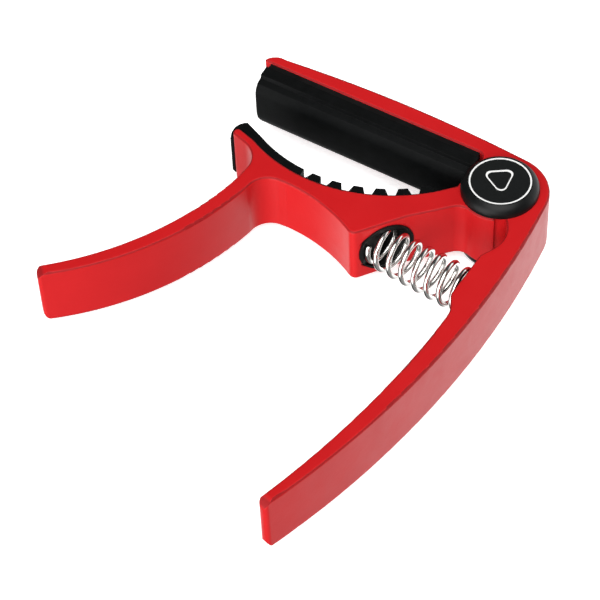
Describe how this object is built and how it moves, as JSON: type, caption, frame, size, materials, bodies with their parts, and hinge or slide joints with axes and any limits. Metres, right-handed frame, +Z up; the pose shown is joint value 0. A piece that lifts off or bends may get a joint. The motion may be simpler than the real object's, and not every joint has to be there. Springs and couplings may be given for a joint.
{
  "type": "guitar capo",
  "caption": "Spring-loaded trigger capo: a padded bar presses the strings while a curved padded jaw grips the back of the neck; squeezing the handles opens it.",
  "frame": {"origin": "centre of the bottom cap's flat face, which the capo lies on, on the hinge axis", "axes": "+Z up along the hinge axis; the upper arm's bar runs along -X from the hinge; the string pad faces -Y, towards the neck"},
  "size_m": [0.0798, 0.0996, 0.0192],
  "materials": {
    "red_enamel": "satin red coat on aluminium",
    "black_rubber": "soft matt rubber",
    "black_plastic": "moulded, matt",
    "cap_plastic": "moulded, fine satin",
    "badge_black": "satin print",
    "badge_white": "satin print",
    "spring_steel": "bright nickel plate",
    "zinc_steel": "zinc plate",
    "brass": "turned",
    "white_nylon": "natural nylon"
  },
  "bodies": {
    "upper_arm": {"upper_arm": "red_enamel", "string_pad": "black_rubber", "string_pad_base": "black_plastic", "hinge_barrel": "zinc_steel", "hinge_screw": "zinc_steel", "top_thrust_washer": "white_nylon", "bottom_thrust_washer": "white_nylon", "top_cap": "cap_plastic", "bottom_cap": "cap_plastic", "badge_disc": "badge_black", "badge_ring": "badge_white", "badge_emblem": "badge_white", "upper_arm_spring_cup": "black_plastic", "spring": "spring_steel"},
    "lower_arm": {"lower_arm": "red_enamel", "neck_pad": "black_rubber", "hinge_bush": "brass", "lower_arm_spring_cup": "black_plastic"}
  },
  "joints": [
    {"name": "jaw_hinge", "type": "hinge", "parent": "upper_arm", "child": "lower_arm", "pos_m": [0, 0, 0.0096], "axis": [0, 0, 1], "range_deg": [0, 16.5], "stiffness_Nm_per_rad": 1.5, "springref_deg": -20.05, "deforming": ["spring"]}
  ]
}
